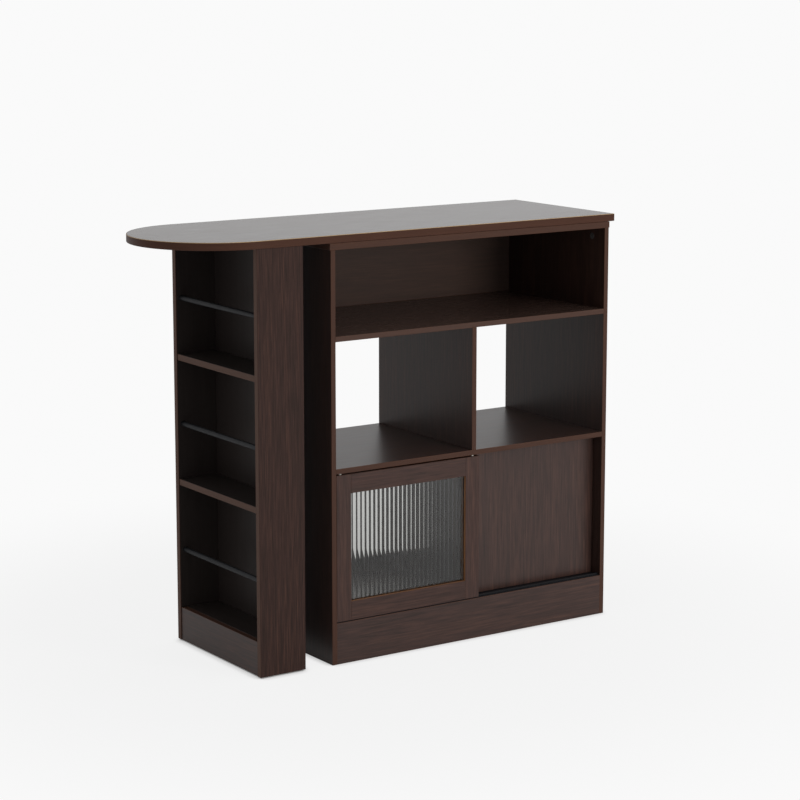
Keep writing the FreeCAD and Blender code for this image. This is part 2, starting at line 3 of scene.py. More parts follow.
import bpy
import numpy as np
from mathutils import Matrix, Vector


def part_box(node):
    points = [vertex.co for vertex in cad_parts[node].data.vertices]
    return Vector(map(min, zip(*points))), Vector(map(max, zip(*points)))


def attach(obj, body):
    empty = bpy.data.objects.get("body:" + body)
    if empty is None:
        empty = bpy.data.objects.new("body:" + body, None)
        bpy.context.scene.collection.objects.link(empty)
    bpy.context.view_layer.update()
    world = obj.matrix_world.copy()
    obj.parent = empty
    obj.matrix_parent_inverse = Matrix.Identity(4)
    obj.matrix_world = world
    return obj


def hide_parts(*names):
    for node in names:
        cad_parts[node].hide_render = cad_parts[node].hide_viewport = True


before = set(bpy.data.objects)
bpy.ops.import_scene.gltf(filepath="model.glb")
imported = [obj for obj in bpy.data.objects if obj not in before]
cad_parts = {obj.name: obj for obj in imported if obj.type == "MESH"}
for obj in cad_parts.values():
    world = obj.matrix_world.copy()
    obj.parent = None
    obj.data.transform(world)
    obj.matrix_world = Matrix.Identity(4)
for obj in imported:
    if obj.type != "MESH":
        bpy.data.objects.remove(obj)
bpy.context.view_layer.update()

bl_info = {
    "name": "Bar cabinet",
    "version": (1, 0, 0),
    "blender": (4, 5, 0),
    "location": "3D View > Sidebar > Bar cabinet",
    "description": "Finishes a bar cabinet: walnut laminate, edge bands, fluted glass, fittings and a studio",
    "category": "Object",
}

AXES = "XYZ"
WHITE = (1.0, 1.0, 1.0, 1.0)
# How far a region's limits lie past the faces at its ends, so that each face is wholly in it or out of it
HAIR = 0.0002
# Share of the floor shadow's reach at which the shadow begins to fade
FADE_START = 0.4
# Width of the camera's sensor in millimetres
SENSOR_WIDTH = 36.0

# What properties of a kind have in common
COLOUR = {"subtype": "COLOR", "size": 3, "min": 0.0, "max": 1.0}
FACTOR = {"subtype": "FACTOR", "min": 0.0, "max": 1.0}
PLACE = {"subtype": "TRANSLATION", "size": 3, "unit": "LENGTH"}

# Laminate, then the way of the grain and the way in which the board is thin, for every board
BOARDS = {
    "bar XZ": ["bar_top"],
    "shelf XZ": ["upper_shelf", "cabinet_floor"],
    "cabinet XZ": ["cabinet_top", "deck"],
    "cabinet ZX": ["bay_divider", "lower_divider"],
    "side ZX": ["side_panel_left", "side_panel_right"],
    "back XY": ["upper_back"],
    "plinth XY": ["plinth_front", "plinth_back"],
    "frame XY": ["door_rail_top", "door_rail_bottom", "glazing_beads"],
    "frame ZY": ["door_stile_left", "door_stile_right"],
    "door ZY": ["rear_door_panel"],
    "rack ZY": ["rack_side_front", "rack_side_back"],
    "rack ZX": ["rack_back"],
    "rack YZ": ["rack_shelf_upper", "rack_shelf_lower", "rack_base"],
    "plinth YX": ["rack_plinth"],
}

# Detail of the noises
SOFT, CRISP = 2.0, 3.0
# Layers of the grain: steps per metre along it, steps per streak width across it, and detail
LAYERS = {
    "broad": (1.3, 0.4, SOFT),
    "streaks": (3.5, 1.3, SOFT),
    "fine": (12.0, 3.5, CRISP),
    "pores": (45.0, 11.0, SOFT),
}
# Share of each layer in the colour's figure and in the relief
FIGURE = {"broad": 0.25, "streaks": 0.3, "fine": 0.45}
RELIEF = {"pores": 0.6, "fine": 0.4}
# Where in the figure the dark, middle and light colours lie
STOPS = (0.33, 0.50, 0.67)
# The streaks' sway: steps per metre along and across the grain, and reach in metres
SWAY_ALONG, SWAY_ACROSS, SWAY_REACH = 1.1, 9.0, 0.03
# Where the pores' noise goes from a pore to plain board, and how dark a pore is
PORE_LIMITS, PORE_SHADE = (0.28, 0.46), 0.75
# Where most of any noise lies
NOISE_LIMITS = (0.3, 0.7)
# Contrast of the fine lines on faces and banded edges, and of the figure in the rack's painted inner shade
FACE_CONTRAST, BAND_CONTRAST, INNER_SHADE_CONTRAST = 1.0, 0.5, 0.8
# How far the fine lines take a face's roughness below and above its own
SMOOTHER, ROUGHER = 0.02, 0.03
# How squarely a surface looks in its board's thin way: less than this on an edge, and this much, give or
# take the spread, on an eased corner, where a warm line is partly the band's colour, partly a painted
# highlight
EDGE_FACING, CORNER_FACING, CORNER_SPREAD = 0.4, 0.707, 0.2
# Streaks and cloud of the band round the bar, in steps per metre along it and round its profile, the share
# of each in its figure, and the lightness that the figure goes between
BAND_STREAKS, BAND_CLOUD = (14.0, 900.0, 1.0), (4.0, 60.0, 1.0)
BAND_FIGURE, BAND_LIGHTNESS = {"streaks": 0.6, "cloud": 0.4}, (0.8, 1.2)
# How far up the surface looks on the band's upper corner, give or take the spread, where a tan highlight is
# painted
BAND_CORNER, BAND_CORNER_SPREAD = 0.6, 0.35
# Cloud in the pane's gloss, in steps per metre, and the roughness that it goes between
GLASS_CLOUD, GLASS_ROUGHNESS = (30.0, 30.0, 8.0), (0.002, 0.012)
# Cloud and grain of moulded surfaces, in steps per metre, the lightness that the cloud goes between, and
# how far it takes the roughness either way
MOULD_CLOUD, MOULD_GRAIN = (35.0, 35.0, 35.0), (900.0, 900.0, 900.0)
MOULD_LIGHTNESS, MOULD_SPREAD = (0.88, 1.12), 0.05


def shade(red, green, blue):
    """A colour given in 0 to 255 display values, as the linear values that shaders take."""
    display = np.array([red, green, blue]) / 255.0
    linear = np.where(display <= 0.04045, display / 12.92, ((display + 0.055) / 1.055) ** 2.4)
    return tuple(float(value) for value in linear)


class WalnutFinish(bpy.types.PropertyGroup):
    """Colours, grain and sheen of the dark walnut laminate, with painted light and shade"""
    dark: bpy.props.FloatVectorProperty(
        name="Dark streaks", description="Darkest streaks of the grain",
        default=shade(50, 36, 31), **COLOUR)
    middle: bpy.props.FloatVectorProperty(
        name="Ground", description="Colour of most of the laminate",
        default=shade(58, 40, 35), **COLOUR)
    light: bpy.props.FloatVectorProperty(
        name="Light streaks", description="Lightest streaks of the grain",
        default=shade(70, 48, 40), **COLOUR)
    streak: bpy.props.FloatProperty(
        name="Streak width", description="Width of the broad streaks",
        default=0.012, min=0.001, unit="LENGTH")
    band: bpy.props.FloatVectorProperty(
        name="Edge band", description="Colour of the boards' banded edges",
        default=shade(69, 43, 31), **COLOUR)
    # Partly painted light: the rack's bands are lighter and greyer than the others, for light and sheen on
    # them
    rack_band_painted_light: bpy.props.FloatVectorProperty(
        name="Rack edge band", description="Colour of the banded edges of the rack's boards",
        default=shade(93, 70, 60), **COLOUR)
    # Partly painted light: the frame's edges round the pane are lighter, for the light falling on them
    sight_edge_and_painted_light: bpy.props.FloatVectorProperty(
        name="Sight edge", description="Colour of the door frame's edges round the pane",
        default=shade(146, 100, 64), **COLOUR)
    # Partly painted highlight: the corner line is the band's colour lit up along the eased corners
    corner: bpy.props.FloatVectorProperty(
        name="Corner line", description="Thin warm line where a band meets a face",
        default=shade(104, 66, 45), **COLOUR)
    # Painted shade: the rack's inner faces take this dark colour for the shade that falls inside the rack
    painted_inner_shade: bpy.props.FloatVectorProperty(
        name="Lining", description="Colour of the rack's inner faces",
        default=shade(48, 42, 40), **COLOUR)
    # Painted sheen: a grey mixed into the upper back's and the shelves' colour stands for their reflection
    # and light
    painted_sheen_grey: bpy.props.FloatVectorProperty(
        name="Inner grey", description="Grey that dulls the upper back and the shelves",
        default=shade(82, 69, 62), **COLOUR)
    painted_sheen_share: bpy.props.FloatProperty(
        name="Inner dulling", description="Share of that grey in the upper back and the shelves",
        default=0.5, **FACTOR)
    bar_roughness: bpy.props.FloatProperty(
        name="Bar roughness", description="Roughness of the bar's face",
        default=0.24, **FACTOR)
    cabinet_roughness: bpy.props.FloatProperty(
        name="Cabinet roughness", description="Roughness of the cabinet's top, deck and dividers",
        default=0.34, **FACTOR)
    side_roughness: bpy.props.FloatProperty(
        name="Side roughness", description="Roughness of the cabinet's two sides",
        default=0.34, **FACTOR)
    shelf_roughness: bpy.props.FloatProperty(
        name="Shelf roughness", description="Roughness of the upper shelf and the cabinet's floor",
        default=0.25, **FACTOR)
    plinth_roughness: bpy.props.FloatProperty(
        name="Plinth roughness", description="Roughness of the plinths of cabinet and rack",
        default=0.36, **FACTOR)
    back_roughness: bpy.props.FloatProperty(
        name="Upper back roughness", description="Roughness of the upper compartment's back",
        default=0.45, **FACTOR)
    door_roughness: bpy.props.FloatProperty(
        name="Rear door roughness", description="Roughness of the plain rear door",
        default=0.38, **FACTOR)
    frame_roughness: bpy.props.FloatProperty(
        name="Door frame roughness", description="Roughness of the front door's frame",
        default=0.4, **FACTOR)
    rack_roughness: bpy.props.FloatProperty(
        name="Rack roughness", description="Roughness of the rack's boards",
        default=0.42, **FACTOR)
    edge_roughness: bpy.props.FloatProperty(
        name="Edge roughness", description="How much rougher the banded edges are than the faces",
        default=0.16, **FACTOR)
    bar_gloss: bpy.props.FloatProperty(
        name="Bar gloss", description="Strength of the bar's reflection seen straight on",
        default=0.47, **FACTOR)
    cabinet_gloss: bpy.props.FloatProperty(
        name="Cabinet gloss", description="Strength of the cabinet's reflection seen straight on",
        default=0.28, **FACTOR)
    side_gloss: bpy.props.FloatProperty(
        name="Side gloss", description="Strength of the sides' reflection seen straight on",
        default=0.28, **FACTOR)
    shelf_gloss: bpy.props.FloatProperty(
        name="Shelf gloss", description="Strength of the shelves' reflection seen straight on",
        default=0.38, **FACTOR)
    plinth_gloss: bpy.props.FloatProperty(
        name="Plinth gloss", description="Strength of the plinths' reflection seen straight on",
        default=0.38, **FACTOR)
    back_gloss: bpy.props.FloatProperty(
        name="Upper back gloss", description="Strength of the upper back's reflection seen straight on",
        default=0.22, **FACTOR)
    door_gloss: bpy.props.FloatProperty(
        name="Rear door gloss", description="Strength of the rear door's reflection seen straight on",
        default=0.43, **FACTOR)
    frame_gloss: bpy.props.FloatProperty(
        name="Door frame gloss", description="Strength of the door frame's reflection seen straight on",
        default=0.3, **FACTOR)
    rack_gloss: bpy.props.FloatProperty(
        name="Rack gloss", description="Strength of the rack's reflection seen straight on",
        default=0.16, **FACTOR)
    # Painted light and shade: sides darker for their shade, shelves, plinths and doors lighter for their
    # light
    side_tone: bpy.props.FloatProperty(
        name="Side tone", description="Lightness of the sides next to the bar",
        default=0.78, min=0.1)
    shelf_tone: bpy.props.FloatProperty(
        name="Shelf tone", description="Lightness of the shelves next to the bar, before they are dulled",
        default=2.0, min=0.1)
    plinth_tone: bpy.props.FloatProperty(
        name="Plinth tone", description="Lightness of the plinths next to the bar",
        default=1.13, min=0.1)
    door_tone: bpy.props.FloatProperty(
        name="Rear door tone", description="Lightness of the rear door next to the bar",
        default=1.12, min=0.1)
    frame_tone: bpy.props.FloatProperty(
        name="Door frame tone", description="Lightness of the door frame next to the bar",
        default=1.28, min=0.1)
    # Strengths of the corner line, which is partly a painted highlight
    board_line: bpy.props.FloatProperty(
        name="Board line", description="Strength of the warm line at a board's corners",
        default=0.6, **FACTOR)
    joint_line: bpy.props.FloatProperty(
        name="Joint line", description="Strength of the warm line at the joints of doors and rack",
        default=0.15, **FACTOR)


class BandFinish(bpy.types.PropertyGroup):
    """The band round the bar"""
    colour: bpy.props.FloatVectorProperty(
        name="Band", description="Colour of the band",
        default=shade(74, 48, 37), **COLOUR)
    # Painted highlight: the tan line stands for light caught on the band's rounded upper corner
    core: bpy.props.FloatVectorProperty(
        name="Corner line", description="Tan line along the band's upper corner",
        default=shade(205, 172, 128), **COLOUR)
    roughness: bpy.props.FloatProperty(
        name="Roughness", description="Roughness of the band",
        default=0.42, **FACTOR)
    gloss: bpy.props.FloatProperty(
        name="Gloss", description="Strength of the band's reflection seen straight on",
        default=0.12, **FACTOR)
    thickness: bpy.props.FloatProperty(
        name="Thickness", description="Thickness of the band",
        default=0.0016, min=0.0002, unit="LENGTH")
    rounding: bpy.props.FloatProperty(
        name="Rounding", description="Radius of the band's rounded corners",
        default=0.0013, min=0.0001, unit="LENGTH")
    proud: bpy.props.FloatProperty(
        name="Proud", description="How far the band stands out from the bar's edge",
        default=0.00015, min=0.0, unit="LENGTH")
    lap: bpy.props.FloatProperty(
        name="Lap", description="How far the band stands over the bar's faces",
        default=0.00003, min=0.0, unit="LENGTH")


class GlassFinish(bpy.types.PropertyGroup):
    """The fluted pane"""
    # Partly painted shade: the tint darkens what is seen through the pane, for the shade behind the cabinet
    tint: bpy.props.FloatVectorProperty(
        name="Tint", description="Colour of light that passes the glass",
        default=(0.5, 0.5, 0.485), **COLOUR)
    bending: bpy.props.FloatProperty(
        name="Index of refraction", description="How strongly the glass bends light",
        default=1.5, min=1.0)
    flute_steps: bpy.props.IntProperty(
        name="Steps", description="Steps across one flute",
        default=24, min=4, subtype="UNSIGNED")
    flute_pitch: bpy.props.FloatProperty(
        name="Pitch", description="Distance from flute to flute",
        default=0.012, min=0.002, unit="LENGTH")
    flute_land: bpy.props.FloatProperty(
        name="Land", description="Flat left between two flutes",
        default=0.0005, min=0.0, unit="LENGTH")
    flute_depth: bpy.props.FloatProperty(
        name="Depth", description="Height of a flute over its chord",
        default=0.0014, min=0.0, unit="LENGTH")


class LockFinish(bpy.types.PropertyGroup):
    """The faces of the cam locks"""
    proud: bpy.props.FloatProperty(
        name="Proud", description="Height of the face over the board",
        default=0.0008, unit="LENGTH")
    sunk: bpy.props.FloatProperty(
        name="Sunk", description="Depth of the lock's rim in the board",
        default=0.0015, unit="LENGTH")
    rim: bpy.props.FloatProperty(
        name="Rim", description="Radius of the rounded rim",
        default=0.0007, unit="LENGTH")
    slot_width: bpy.props.FloatProperty(
        name="Slot width", description="Width of the crossed slot",
        default=0.0018, unit="LENGTH")
    slot_length: bpy.props.FloatProperty(
        name="Slot length", description="Length of the crossed slot",
        default=0.008, unit="LENGTH")
    slot_depth: bpy.props.FloatProperty(
        name="Slot depth", description="Depth of the crossed slot",
        default=0.0012, unit="LENGTH")
    slope: bpy.props.FloatProperty(
        name="Slope", description="Width of the slot's sloping walls",
        default=0.0005, unit="LENGTH")


class FittingColours(bpy.types.PropertyGroup):
    """Colours of the metal and plastic fittings"""
    coat: bpy.props.FloatVectorProperty(
        name="Rod coat", description="Powder coat of the bottle rods",
        default=shade(23, 24, 28), **COLOUR)
    zinc: bpy.props.FloatVectorProperty(
        name="Zinc", description="Plating of the pivot and the rollers' forks and axles",
        default=shade(176, 176, 172), **COLOUR)
    track: bpy.props.FloatVectorProperty(
        name="Track", description="The doors' track",
        default=shade(25, 25, 28), **COLOUR)
    guide: bpy.props.FloatVectorProperty(
        name="Guides", description="The doors' guides and runners",
        default=shade(226, 222, 214), **COLOUR)
    nylon: bpy.props.FloatVectorProperty(
        name="Bush", description="Nylon of the pivot's bush",
        default=shade(216, 212, 200), **COLOUR)
    tyre: bpy.props.FloatVectorProperty(
        name="Tyres", description="The rollers' tyres",
        default=shade(40, 40, 42), **COLOUR)
    lock: bpy.props.FloatVectorProperty(
        name="Cam locks", description="The cam locks' faces",
        default=shade(64, 62, 62), **COLOUR)


class StageSettings(bpy.types.PropertyGroup):
    """Floor, light and camera"""
    floor_colour: bpy.props.FloatVectorProperty(
        name="Floor", description="Colour of the floor in the light that it gives back",
        default=(0.88, 0.88, 0.88), **COLOUR)
    floor_seen: bpy.props.FloatVectorProperty(
        name="Floor, seen", description="Colour of the floor as it is seen",
        default=(0.95, 0.95, 0.95), **COLOUR)
    floor_reach: bpy.props.FloatProperty(
        name="Floor reach", description="Distance from the middle to the floor's edges",
        default=40.0, min=5.0, unit="LENGTH")
    paper: bpy.props.FloatProperty(
        name="Backdrop", description="Brightness of the white surroundings",
        default=0.955, min=0.0)
    mirrored: bpy.props.FloatProperty(
        name="Backdrop in gloss", description="Share of the white surroundings in what glossy faces reflect",
        default=0.35, **FACTOR)
    shadow: bpy.props.FloatProperty(
        name="Shadow", description="How much of the floor's own shading shows",
        default=0.12, **FACTOR)
    shadow_reach: bpy.props.FloatProperty(
        name="Shadow reach", description="Distance at which the floor has become plain backdrop",
        default=1.7, min=0.1, unit="LENGTH")
    contact: bpy.props.FloatProperty(
        name="Contact shadow", description="Reach of the dark line where the object meets the floor",
        default=0.03, min=0.0, unit="LENGTH")
    room_turn: bpy.props.FloatProperty(
        name="Room turn", description="Turn of the room's lit sides to the right",
        default=math.radians(25.0), subtype="ANGLE")
    room_left: bpy.props.FloatProperty(
        name="Room, left", description="Light from the left side of the room",
        default=0.42, min=0.0)
    room_right: bpy.props.FloatProperty(
        name="Room, right", description="Light from the right side of the room",
        default=1.0, min=0.0)
    room_front: bpy.props.FloatProperty(
        name="Room, front", description="Light from the front of the room",
        default=0.78, min=0.0)
    room_back: bpy.props.FloatProperty(
        name="Room, back", description="Light from the back of the room",
        default=0.42, min=0.0)
    room_top: bpy.props.FloatProperty(
        name="Room, top", description="Light from above",
        default=0.34, min=0.0)
    box_power: bpy.props.FloatProperty(
        name="Soft box", description="Power of the soft box in front",
        default=48.0, min=0.0, unit="POWER")
    box_size: bpy.props.FloatProperty(
        name="Soft box size", description="Side of the soft box",
        default=1.2, min=0.01, unit="LENGTH")
    box_place: bpy.props.FloatVectorProperty(
        name="Soft box place", description="Place of the soft box",
        default=(1.4, -3.5, 1.15), **PLACE)
    box_aim: bpy.props.FloatVectorProperty(
        name="Soft box aim", description="Point that the soft box faces",
        default=(0.1, 0.0, 0.5), **PLACE)
    camera_place: bpy.props.FloatVectorProperty(
        name="Camera", description="Place of the camera",
        default=(-3.0641, -4.6885, 1.6263), **PLACE)
    camera_yaw: bpy.props.FloatProperty(
        name="Yaw", description="Turn of the camera to the right",
        default=math.radians(34.071), subtype="ANGLE")
    camera_pitch: bpy.props.FloatProperty(
        name="Pitch", description="Tilt of the camera downwards",
        default=math.radians(9.902), subtype="ANGLE")
    camera_shift: bpy.props.FloatProperty(
        name="Shift", description="Upright shift of the picture, in picture widths",
        default=-0.04)
    focal_pixels: bpy.props.FloatProperty(
        name="Focal length", description="Focal length in pixels of the picture",
        default=2384.4, min=1.0, subtype="PIXEL")
    picture_pixels: bpy.props.FloatProperty(
        name="Picture width", description="Width of the picture in pixels",
        default=800.0, min=1.0, subtype="PIXEL")
    clip_end: bpy.props.FloatProperty(
        name="Clip end", description="Distance beyond which the camera sees nothing",
        default=200.0, min=1.0, unit="LENGTH")


class BarCabinetSettings(bpy.types.PropertyGroup):
    """All settings of the bar cabinet"""
    walnut: bpy.props.PointerProperty(name="Walnut", description="Laminate of the boards", type=WalnutFinish)
    band: bpy.props.PointerProperty(name="Band", description="Band round the bar", type=BandFinish)
    glass: bpy.props.PointerProperty(name="Glass", description="The front door's pane", type=GlassFinish)
    locks: bpy.props.PointerProperty(name="Cam locks", description="Faces of the cam locks", type=LockFinish)
    fittings: bpy.props.PointerProperty(name="Fittings", description="Metal and plastic", type=FittingColours)
    stage: bpy.props.PointerProperty(name="Stage", description="Floor, light and camera", type=StageSettings)


def opaque(colour):
    """A colour of three values with full cover as the fourth."""
    return (*colour, 1.0)


class Shader:
    """A small hand for building the nodes of a material or of the world."""

    def __init__(self, owner):
        owner.use_nodes = True
        self.tree = owner.node_tree
        self.tree.nodes.clear()

    def add(self, kind, inputs=None, **properties):
        """A node with its properties set and its inputs linked or filled."""
        node = self.tree.nodes.new(kind)
        for name, value in properties.items():
            setattr(node, name, value)
        for socket, value in (inputs or {}).items():
            if isinstance(value, bpy.types.NodeSocket):
                self.tree.links.new(value, node.inputs[socket])
            else:
                node.inputs[socket].default_value = value
        return node

    def math(self, operation, first, second=0.0, third=0.0):
        """One step of arithmetic on numbers."""
        node = self.add("ShaderNodeMath", {0: first, 1: second, 2: third}, operation=operation)
        return node.outputs[0]

    def vector(self, operation, first, second=(0.0, 0.0, 0.0), output="Vector"):
        """One step of arithmetic on vectors; a length or a dot product has the output Value."""
        node = self.add("ShaderNodeVectorMath", {0: first, 1: second}, operation=operation)
        return node.outputs[output]

    def scale(self, colour, factor):
        """A colour times a factor."""
        node = self.add("ShaderNodeVectorMath", {0: colour, "Scale": factor}, operation="SCALE")
        return node.outputs["Vector"]

    def mix(self, share, first, second):
        """A colour that goes from the first to the second as the share goes from 0 to 1."""
        node = self.add("ShaderNodeMix", {0: share, 6: first, 7: second}, data_type="RGBA")
        return node.outputs[2]

    def blend(self, layers, shares):
        """The sum of the named layers, each times its share."""
        total = 0.0
        for name, share in shares.items():
            total = self.math("MULTIPLY_ADD", layers[name], share, total)
        return total

    def vary(self, noise, contrast):
        """A factor about 1 that goes up and down with a noise about 0.5."""
        return self.math("MULTIPLY_ADD", noise, contrast, 1.0 - contrast / 2.0)

    def carry(self, value, limits, low, high, **properties):
        """A value between two limits, carried over to the range from low to high and held there."""
        node = self.add("ShaderNodeMapRange", {
            "Value": value, "From Min": limits[0], "From Max": limits[1],
            "To Min": low, "To Max": high}, **properties)
        return node.outputs[0]

    def noise(self, vector, scale, detail):
        """Noise of a vector that is stretched by the given scale along X, Y and Z."""
        stretched = self.add("ShaderNodeMapping", {"Vector": vector, "Scale": scale})
        node = self.add("ShaderNodeTexNoise", {
            "Vector": stretched.outputs[0], "Scale": 1.0, "Detail": detail})
        return node.outputs[0]

    def ramp(self, value, places, colours):
        """The colour at a value, between colours at the given places."""
        node = self.add("ShaderNodeValToRGB", {"Fac": value})
        elements = node.color_ramp.elements
        while len(elements) < len(places):
            elements.new(places[len(elements) - 1])
        for element, place, colour in zip(elements, places, colours):
            element.position = place
            element.color = opaque(colour)
        return node.outputs[0]

    def bump(self, height, strength, distance):
        """The surface's direction with a fine relief."""
        node = self.add("ShaderNodeBump", {"Height": height, "Strength": strength, "Distance": distance})
        return node.outputs[0]

    def surface(self, inputs):
        """Make a plain surface with these inputs what the material shows."""
        self.close(self.add("ShaderNodeBsdfPrincipled", inputs))

    def close(self, node):
        """Make a shader node what the material shows."""
        self.add("ShaderNodeOutputMaterial", {"Surface": node.outputs[0]})


def within(shader, at, limits):
    """1 where the place lies between two limits, low and high, on each axis that has them."""
    place = shader.add("ShaderNodeSeparateXYZ", {0: at})
    inside = 1.0
    for axis, (low, high) in limits.items():
        held = shader.math("COMPARE", place.outputs[axis], (low + high) / 2.0, (high - low) / 2.0)
        inside = shader.math("MULTIPLY", held, inside)
    return inside


# Region of the rack's inner faces, where shade is painted
def rack_inside():
    """Limits between the rack's two sides and behind its shelves' front edges."""
    back_low, back_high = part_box("rack_back")
    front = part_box("rack_shelf_upper")[0][0]
    return {"X": (front + HAIR, back_low[0] + HAIR), "Y": (back_low[1] - HAIR, back_high[1] + HAIR)}


def door_opening():
    """Limits of the opening that the front door's frame leaves for the pane, its edges included."""
    left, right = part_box("door_stile_left")[1][0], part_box("door_stile_right")[0][0]
    bottom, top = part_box("door_rail_bottom")[1][2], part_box("door_rail_top")[0][2]
    return {"X": (left - HAIR, right + HAIR), "Z": (bottom - HAIR, top + HAIR)}


def per_axis(grain, along, across):
    """A scale with one value along the grain and another across it."""
    return tuple(along if axis == grain else across for axis in AXES)


def grain_layers(shader, at, grain, streak):
    """The layers of the grain by name. All but the pores sway from side to side along the board."""
    sway = shader.noise(at, per_axis(grain, SWAY_ALONG, SWAY_ACROSS), SOFT)
    swayed = shader.vector("ADD", at, shader.math("MULTIPLY", sway, SWAY_REACH))
    layers = {}
    for name, (along, across, detail) in LAYERS.items():
        place = at if name == "pores" else swayed
        layers[name] = shader.noise(place, per_axis(grain, along, across / streak), detail)
    return layers


def walnut(laminate, grain, thin):
    """Walnut laminate. Broad and fine streaks run along the grain; the thin sides are banded, with a warm
    line at the eased corners, where the surface looks half way between a face and an edge, partly a painted
    highlight. The tones, the rack's dark inner faces and the grey on the upper back and shelves are painted
    light, shade and sheen."""
    finish = bpy.context.scene.bar_cabinet.walnut
    material = bpy.data.materials.new(f"{laminate}_walnut_{grain}{thin}".lower())
    roughness = getattr(finish, f"{laminate}_roughness")
    gloss = getattr(finish, f"{laminate}_gloss")
    # A laminate without a tone of its own is as light as the bar; the tones are painted light and shade
    tone = getattr(finish, f"{laminate}_tone", 1.0)
    line = finish.joint_line if laminate in ("frame", "door", "rack") else finish.board_line
    shader = Shader(material)
    place = shader.add("ShaderNodeTexCoord")
    at = place.outputs["Object"]
    layers = grain_layers(shader, at, grain, finish.streak)
    figure = shader.blend(layers, FIGURE)
    colour = shader.ramp(figure, STOPS, (finish.dark, finish.middle, finish.light))
    pores = shader.carry(layers["pores"], PORE_LIMITS, PORE_SHADE * tone, tone)
    colour = shader.scale(colour, shader.math("MULTIPLY", pores, shader.vary(layers["fine"], FACE_CONTRAST)))
    # Painted shade: inside the rack the laminate gives way to a dark colour that stands for the shade there
    if laminate == "rack":
        painted_inner_shade = shader.scale(finish.painted_inner_shade, shader.vary(figure, INNER_SHADE_CONTRAST))
        colour = shader.mix(within(shader, at, rack_inside()), colour, painted_inner_shade)
    # Painted sheen: the upper back and the shelves are greyed, for the reflection and light on them
    if laminate in ("back", "shelf"):
        colour = shader.mix(finish.painted_sheen_share, colour, opaque(finish.painted_sheen_grey))
    # Partly painted light and sheen: the rack's banded edges are lighter and greyer
    edge = finish.rack_band_painted_light if laminate == "rack" else finish.band
    # Partly painted light: round the pane the frame's edges take a lighter colour for the light on them
    if laminate == "frame":
        edge = shader.mix(within(shader, at, door_opening()), opaque(edge), opaque(finish.sight_edge_and_painted_light))
    edge = shader.scale(edge, shader.vary(layers["fine"], BAND_CONTRAST))
    normal = shader.add("ShaderNodeSeparateXYZ", {0: place.outputs["Normal"]})
    facing = shader.math("ABSOLUTE", normal.outputs[thin])
    on_edge = shader.math("LESS_THAN", facing, EDGE_FACING)
    on_corner = shader.math("COMPARE", facing, CORNER_FACING, CORNER_SPREAD)
    colour = shader.mix(on_edge, colour, edge)
    # Partly painted highlight: a warm line along the eased corners
    colour = shader.mix(shader.math("MULTIPLY", on_corner, line), colour, opaque(finish.corner))
    satin = shader.carry(layers["fine"], NOISE_LIMITS, roughness - SMOOTHER, roughness + ROUGHER)
    satin = shader.math("MULTIPLY_ADD", on_edge, finish.edge_roughness, satin)
    relief = shader.bump(shader.blend(layers, RELIEF), strength=0.05, distance=0.0004)
    shader.surface({"Base Color": colour, "Roughness": satin, "Specular IOR Level": gloss, "Normal": relief})
    return material


def band_material():
    """Band round the bar: fine streaks along it, from the piece's own map, and a painted tan highlight on its
    upper corner, where the surface looks half way up."""
    finish = bpy.context.scene.bar_cabinet.band
    material = bpy.data.materials.new("bar_band")
    shader = Shader(material)
    place = shader.add("ShaderNodeTexCoord")
    layers = {"streaks": shader.noise(place.outputs["UV"], BAND_STREAKS, CRISP),
              "cloud": shader.noise(place.outputs["UV"], BAND_CLOUD, SOFT)}
    figure = shader.blend(layers, BAND_FIGURE)
    colours = [tuple(lightness * value for value in finish.colour) for lightness in BAND_LIGHTNESS]
    colour = shader.ramp(figure, NOISE_LIMITS, colours)
    upwards = shader.add("ShaderNodeSeparateXYZ", {0: place.outputs["Normal"]}).outputs["Z"]
    # Painted highlight along the band's upper corner
    on_corner = shader.math("COMPARE", upwards, BAND_CORNER, BAND_CORNER_SPREAD)
    shader.surface({"Base Color": shader.mix(on_corner, colour, opaque(finish.core)),
                    "Roughness": finish.roughness, "Specular IOR Level": finish.gloss,
                    "Normal": shader.bump(layers["streaks"], strength=0.1, distance=0.0003)})
    return material


def fluted_glass():
    """Clear glass with a tint, partly its own colour and partly painted shade on what is seen through it, and
    a faint unevenness of its gloss.
    """
    finish = bpy.context.scene.bar_cabinet.glass
    material = bpy.data.materials.new("clear_fluted_glass")
    shader = Shader(material)
    at = shader.add("ShaderNodeTexCoord").outputs["Object"]
    cloud = shader.noise(at, GLASS_CLOUD, SOFT)
    shader.surface({"Base Color": opaque(finish.tint), "IOR": finish.bending, "Transmission Weight": 1.0,
                    "Roughness": shader.carry(cloud, NOISE_LIMITS, *GLASS_ROUGHNESS)})
    return material


def moulded(name, colour, roughness, metallic=0.0, gloss=0.5):
    """A moulded, coated or plated surface: one colour that varies a little, and a fine grain."""
    material = bpy.data.materials.new(name)
    shader = Shader(material)
    at = shader.add("ShaderNodeTexCoord").outputs["Object"]
    cloud = shader.noise(at, MOULD_CLOUD, CRISP)
    grain = shader.noise(at, MOULD_GRAIN, SOFT)
    colours = [tuple(min(1.0, lightness * value) for value in colour) for lightness in MOULD_LIGHTNESS]
    satin = shader.carry(cloud, NOISE_LIMITS, roughness - MOULD_SPREAD, roughness + MOULD_SPREAD)
    shader.surface({"Base Color": shader.ramp(cloud, NOISE_LIMITS, colours), "Roughness": satin,
                    "Metallic": metallic, "Specular IOR Level": gloss,
                    "Normal": shader.bump(grain, strength=0.15, distance=0.0002)})
    return material


def dress(node, material):
    """Give a CAD node a material in place of the one that it came with."""
    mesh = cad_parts[node].data
    mesh.materials.clear()
    mesh.materials.append(material)


